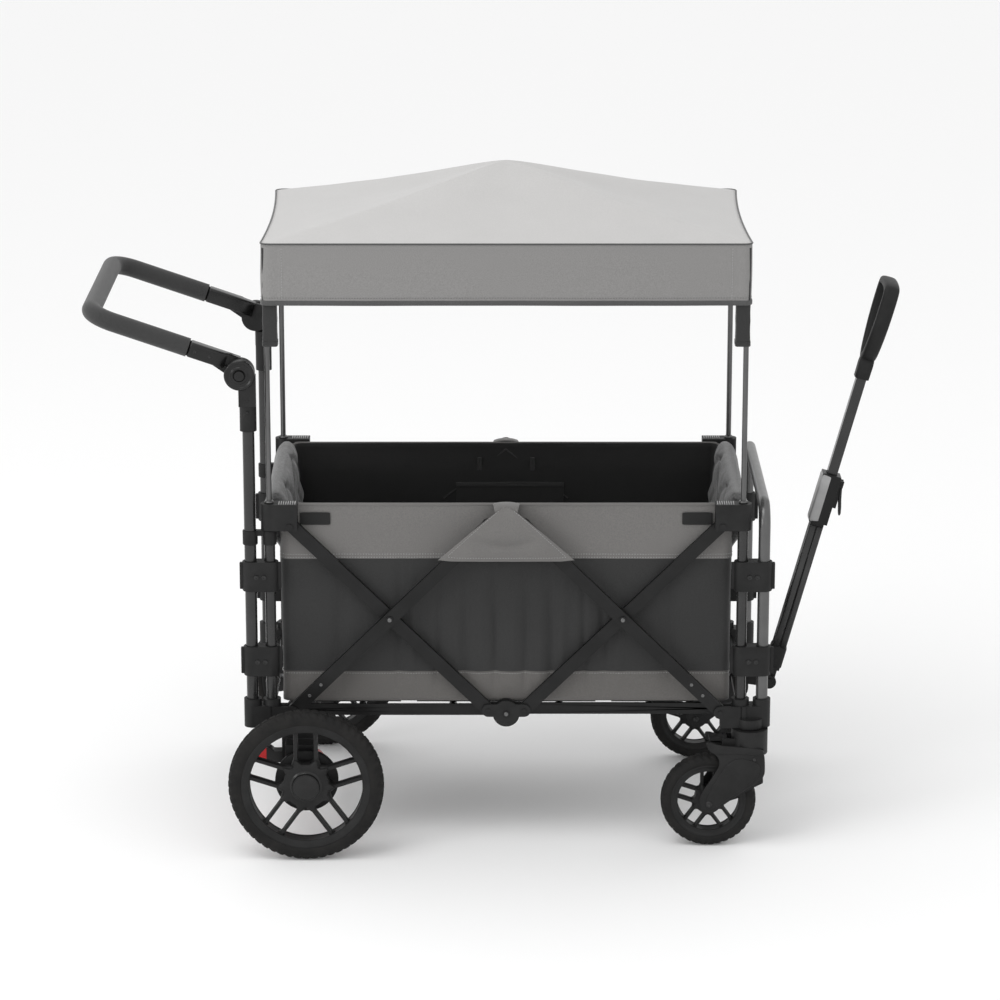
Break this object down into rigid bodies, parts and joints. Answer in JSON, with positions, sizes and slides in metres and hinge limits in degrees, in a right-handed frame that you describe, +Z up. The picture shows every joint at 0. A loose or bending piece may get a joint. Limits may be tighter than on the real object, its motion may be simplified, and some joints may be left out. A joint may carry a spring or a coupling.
{
  "type": "folding pull wagon",
  "caption": "Folding child's pull wagon with a fabric basket on scissor arms, a canopy on poles, a push handle and a telescopic pull handle.",
  "frame": {"origin": "on the ground under the middle of the overall length and width", "axes": "+X forwards towards the pull handle, +Y towards the far side in the reference view, +Z up"},
  "size_m": [1.5146, 0.706, 1.267],
  "materials": {
    "coated_steel": "satin",
    "pull_tube": "satin",
    "loop_steel": "satin",
    "bare_steel": "satin",
    "pole_steel": "satin",
    "black_plastic": "matte",
    "tyre": "matte",
    "foam_grip": "matte",
    "red_plastic": "gloss",
    "white_rod": "satin",
    "grey_cloth": "matte",
    "dark_cloth": "matte",
    "heather_cloth": "matte"
  },
  "bodies": {
    "rear_frame": {"rear_posts": "coated_steel", "push_handle_legs": "coated_steel", "rear_clamps": "black_plastic", "rear_screws": "bare_steel", "rear_corner_blocks": "black_plastic", "axle_struts": "black_plastic", "rear_axle": "bare_steel", "rear_cross_tube": "coated_steel", "handle_sleeves": "black_plastic"},
    "push_handle": {"handle_arms": "black_plastic", "push_tube": "coated_steel", "push_grip": "foam_grip"},
    "handle_button_near": {"hub_button_near": "black_plastic"},
    "handle_button_far": {"hub_button_far": "black_plastic"},
    "rear_low_arms": {"rear_low_arms": "coated_steel"},
    "rear_high_arms": {"rear_high_arms": "coated_steel"},
    "rear_top_caps": {"rear_caps": "black_plastic", "rear_top_tubes": "bare_steel", "rear_end_pad": "heather_cloth", "basket_liner": "dark_cloth", "floor_mat": "dark_cloth"},
    "bottom_hubs": {"bottom_hubs": "black_plastic"},
    "top_hubs": {"top_hubs": "black_plastic", "side_flaps": "grey_cloth"},
    "front_low_arms": {"front_low_arms": "coated_steel"},
    "front_high_arms": {"front_high_arms": "coated_steel"},
    "front_top_caps": {"front_caps": "black_plastic", "front_top_tubes": "bare_steel", "front_end_pad": "heather_cloth"},
    "front_frame": {"front_posts": "coated_steel", "front_loop": "loop_steel", "front_clamps": "black_plastic", "front_screws": "bare_steel", "front_corner_blocks": "black_plastic", "front_cross_tube": "coated_steel"},
    "rear_rails": {"rear_floor_rails": "coated_steel"},
    "front_rails": {"front_floor_rails": "coated_steel"},
    "canopy_rear": {"rear_poles": "pole_steel", "canopy_roof": "grey_cloth", "canopy_ribs": "white_rod"},
    "canopy_front": {"front_poles": "pole_steel"},
    "rear_wheel_near": {"rear_tyre_near": "tyre", "rear_rim_near": "black_plastic"},
    "rear_wheel_far": {"rear_tyre_far": "tyre", "rear_rim_far": "black_plastic"},
    "caster_near": {"caster_fork_near": "black_plastic"},
    "caster_far": {"caster_fork_far": "black_plastic"},
    "caster_wheel_near": {"caster_tyre_near": "tyre", "caster_rim_near": "black_plastic"},
    "caster_wheel_far": {"caster_tyre_far": "tyre", "caster_rim_far": "black_plastic"},
    "lock_lever_near": {"swivel_lock_near": "black_plastic"},
    "lock_lever_far": {"swivel_lock_far": "black_plastic"},
    "brake_pedal": {"brake_pedals": "red_plastic"},
    "brake_pin_near": {"brake_pin_near": "bare_steel"},
    "brake_pin_far": {"brake_pin_far": "bare_steel"},
    "pull_handle": {"pull_outer_tube": "pull_tube"},
    "pull_inner": {"pull_inner_tube": "bare_steel", "pull_grip": "black_plastic"},
    "pull_latch": {"pull_latch": "black_plastic"}
  },
  "joints": [
    {"name": "fold", "type": "hinge", "parent": "rear_frame", "child": "rear_low_arms", "pos_m": [-0.37842, 0, 0.262], "axis": [0, -1, 0], "range_deg": [0, 33], "deforming": ["basket_liner", "floor_mat", "canopy_roof", "canopy_ribs"]},
    {"name": "rear_scissor", "type": "hinge", "parent": "rear_low_arms", "child": "rear_high_arms", "pos_m": [-0.19517, 0, 0.442], "axis": [0, -1, 0], "range_deg": [-66, 0]},
    {"name": "rear_cap_level", "type": "hinge", "parent": "rear_high_arms", "child": "rear_top_caps", "pos_m": [-0.37842, 0, 0.622], "axis": [0, -1, 0], "range_deg": [0, 33]},
    {"name": "bottom_hub_level", "type": "hinge", "parent": "rear_high_arms", "child": "bottom_hubs", "pos_m": [-0.01192, 0, 0.262], "axis": [0, -1, 0], "range_deg": [0, 33]},
    {"name": "top_hub_level", "type": "hinge", "parent": "rear_low_arms", "child": "top_hubs", "pos_m": [-0.01192, 0, 0.622], "axis": [0, -1, 0], "range_deg": [-33, 0]},
    {"name": "front_arm_swing", "type": "hinge", "parent": "top_hubs", "child": "front_low_arms", "pos_m": [0.05508, 0, 0.622], "axis": [0, -1, 0], "range_deg": [-33, 0]},
    {"name": "front_scissor", "type": "hinge", "parent": "front_low_arms", "child": "front_high_arms", "pos_m": [0.23833, 0, 0.442], "axis": [0, -1, 0], "range_deg": [0, 66]},
    {"name": "front_cap_level", "type": "hinge", "parent": "front_high_arms", "child": "front_top_caps", "pos_m": [0.42158, 0, 0.622], "axis": [0, -1, 0], "range_deg": [-33, 0]},
    {"name": "front_frame_level", "type": "hinge", "parent": "front_low_arms", "child": "front_frame", "pos_m": [0.42158, 0, 0.262], "axis": [0, -1, 0], "range_deg": [0, 33]},
    {"name": "rear_rail_fold", "type": "hinge", "parent": "rear_frame", "child": "rear_rails", "pos_m": [-0.37842, 0, 0.257], "axis": [0, -1, 0], "range_deg": [0, 66.5]},
    {"name": "front_rail_fold", "type": "hinge", "parent": "front_frame", "child": "front_rails", "pos_m": [0.42158, 0, 0.257], "axis": [0, -1, 0], "range_deg": [-66.5, 0]},
    {"name": "canopy_lift", "type": "slide", "parent": "rear_top_caps", "child": "canopy_rear", "axis": [0, 0, 1], "range_m": [0, 0.06]},
    {"name": "canopy_front_lift", "type": "slide", "parent": "front_top_caps", "child": "canopy_front", "axis": [0, 0, 1], "range_m": [0, 0.06]},
    {"name": "push_handle_tilt", "type": "hinge", "parent": "rear_frame", "child": "push_handle", "pos_m": [-0.46642, 0, 0.909], "axis": [0, 1, 0], "range_deg": [-70, 50]},
    {"name": "handle_button_near_press", "type": "slide", "parent": "rear_frame", "child": "handle_button_near", "axis": [0, 1, 0], "range_m": [0, 0.004], "stiffness_N_per_m": 400, "springref_m": -0.002},
    {"name": "handle_button_far_press", "type": "slide", "parent": "rear_frame", "child": "handle_button_far", "axis": [0, -1, 0], "range_m": [0, 0.004], "stiffness_N_per_m": 400, "springref_m": -0.002},
    {"name": "rear_wheel_near_spin", "type": "hinge", "parent": "rear_frame", "child": "rear_wheel_near", "pos_m": [-0.35042, -0.331, 0.145], "axis": [0, 1, 0], "continuous": true},
    {"name": "rear_wheel_far_spin", "type": "hinge", "parent": "rear_frame", "child": "rear_wheel_far", "pos_m": [-0.35042, 0.331, 0.145], "axis": [0, 1, 0], "continuous": true},
    {"name": "caster_near_swivel", "type": "hinge", "parent": "front_frame", "child": "caster_near", "pos_m": [0.47758, -0.253, 0.0002], "axis": [0, 0, 1], "continuous": true},
    {"name": "caster_near_spin", "type": "hinge", "parent": "caster_near", "child": "caster_wheel_near", "pos_m": [0.40158, -0.253, 0.0895], "axis": [0, 1, 0], "continuous": true},
    {"name": "lock_lever_near_flip", "type": "hinge", "parent": "caster_near", "child": "lock_lever_near", "pos_m": [0.43158, -0.253, 0.209], "axis": [0, 1, 0], "range_deg": [0, 20]},
    {"name": "caster_far_swivel", "type": "hinge", "parent": "front_frame", "child": "caster_far", "pos_m": [0.47758, 0.253, 0.0002], "axis": [0, 0, 1], "continuous": true},
    {"name": "caster_far_spin", "type": "hinge", "parent": "caster_far", "child": "caster_wheel_far", "pos_m": [0.40158, 0.253, 0.0895], "axis": [0, 1, 0], "continuous": true},
    {"name": "lock_lever_far_flip", "type": "hinge", "parent": "caster_far", "child": "lock_lever_far", "pos_m": [0.43158, 0.253, 0.209], "axis": [0, 1, 0], "range_deg": [0, 20]},
    {"name": "brake_press", "type": "hinge", "parent": "rear_frame", "child": "brake_pedal", "pos_m": [-0.35042, 0, 0.145], "axis": [0, -1, 0], "range_deg": [0, 18]},
    {"name": "brake_pin_near_slide", "type": "slide", "parent": "rear_frame", "child": "brake_pin_near", "axis": [0, -1, 0], "range_m": [0, 0.008]},
    {"name": "brake_pin_far_slide", "type": "slide", "parent": "rear_frame", "child": "brake_pin_far", "axis": [0, 1, 0], "range_m": [0, 0.008]},
    {"name": "pull_handle_tilt", "type": "hinge", "parent": "front_frame", "child": "pull_handle", "pos_m": [0.52958, 0, 0.244], "axis": [0, 1, 0], "range_deg": [-12, 70]},
    {"name": "pull_handle_extend", "type": "slide", "parent": "pull_handle", "child": "pull_inner", "axis": [0.2656, 0, 0.9641], "range_m": [-0.17, 0.1]},
    {"name": "pull_latch_squeeze", "type": "hinge", "parent": "pull_handle", "child": "pull_latch", "pos_m": [0.66116, 0, 0.6351], "axis": [0, -1, 0], "range_deg": [0, 15], "stiffness_Nm_per_rad": 0.2, "springref_deg": -5.73}
  ],
  "couplings": [
    {"joint": "rear_scissor", "follows": "fold", "ratio": -2},
    {"joint": "rear_cap_level", "follows": "fold", "ratio": 1},
    {"joint": "bottom_hub_level", "follows": "fold", "ratio": 1},
    {"joint": "top_hub_level", "follows": "fold", "ratio": -1},
    {"joint": "front_arm_swing", "follows": "fold", "ratio": -1},
    {"joint": "front_scissor", "follows": "fold", "ratio": 2},
    {"joint": "front_cap_level", "follows": "fold", "ratio": -1},
    {"joint": "front_frame_level", "follows": "fold", "ratio": 1},
    {"joint": "rear_rail_fold", "follows": "fold", "ratio": 2},
    {"joint": "front_rail_fold", "follows": "fold", "ratio": -2},
    {"joint": "canopy_front_lift", "follows": "canopy_lift", "ratio": 1},
    {"joint": "brake_pin_near_slide", "follows": "brake_press", "m_per_rad": 0.02483},
    {"joint": "brake_pin_far_slide", "follows": "brake_press", "m_per_rad": 0.02483}
  ]
}
